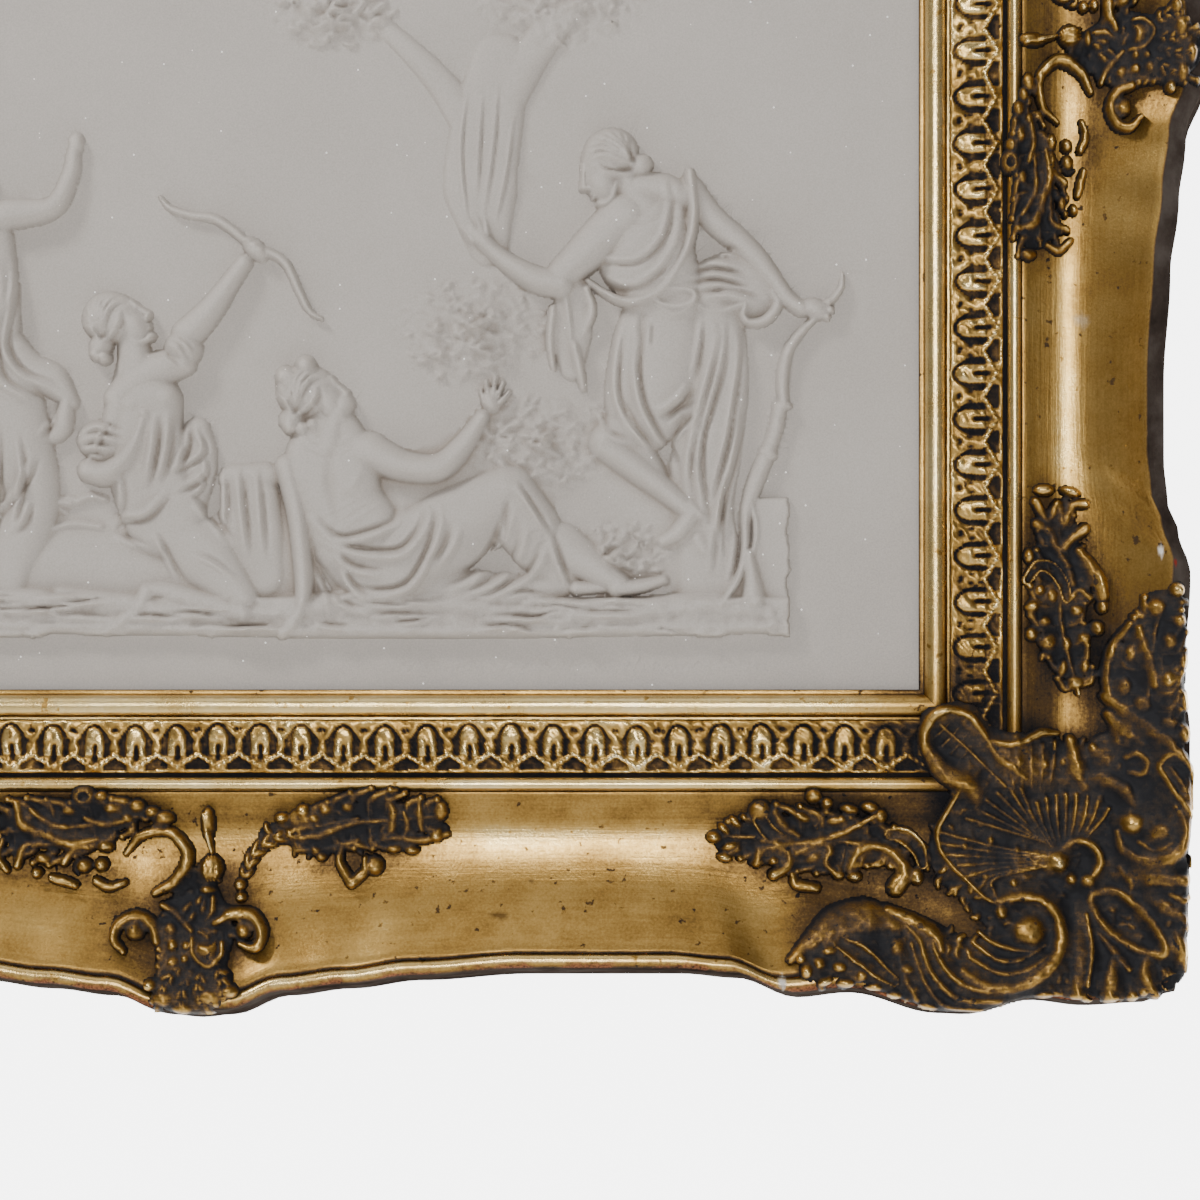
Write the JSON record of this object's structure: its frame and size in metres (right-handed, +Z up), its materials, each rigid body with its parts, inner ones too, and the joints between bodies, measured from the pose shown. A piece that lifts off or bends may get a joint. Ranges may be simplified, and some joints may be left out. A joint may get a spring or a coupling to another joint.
{
  "type": "framed relief plaque",
  "caption": "Near-square cast-stone relief of classical hunting figures in a deep swept gilt frame with leaf band, cove and corner and centre ornaments.",
  "frame": {"origin": "on the flat back of the top rail, at the frame's centre line, where the piece bears on the wall", "axes": "+X to the right as seen from the front, +Y into the wall, +Z up; the relief faces -Y"},
  "size_m": [0.9156, 0.0575, 0.8756],
  "materials": {
    "cast_stone": "matt pale cast stone with small glints",
    "gilt_rail": "water gilt over gesso, worn and patinated",
    "gilt_ornament": "gilt pressed composition with dark patina"
  },
  "bodies": {
    "root": {"plaque": "cast_stone", "rail_bottom": "gilt_rail", "rail_top": "gilt_rail", "rail_right": "gilt_rail", "rail_left": "gilt_rail", "corner_ornament_bottom_right": "gilt_ornament", "corner_ornament_bottom_left": "gilt_ornament", "corner_ornament_top_right": "gilt_ornament", "corner_ornament_top_left": "gilt_ornament", "centre_ornament_bottom": "gilt_ornament", "centre_ornament_top": "gilt_ornament", "centre_ornament_right": "gilt_ornament", "centre_ornament_left": "gilt_ornament"}
  },
  "joints": []
}
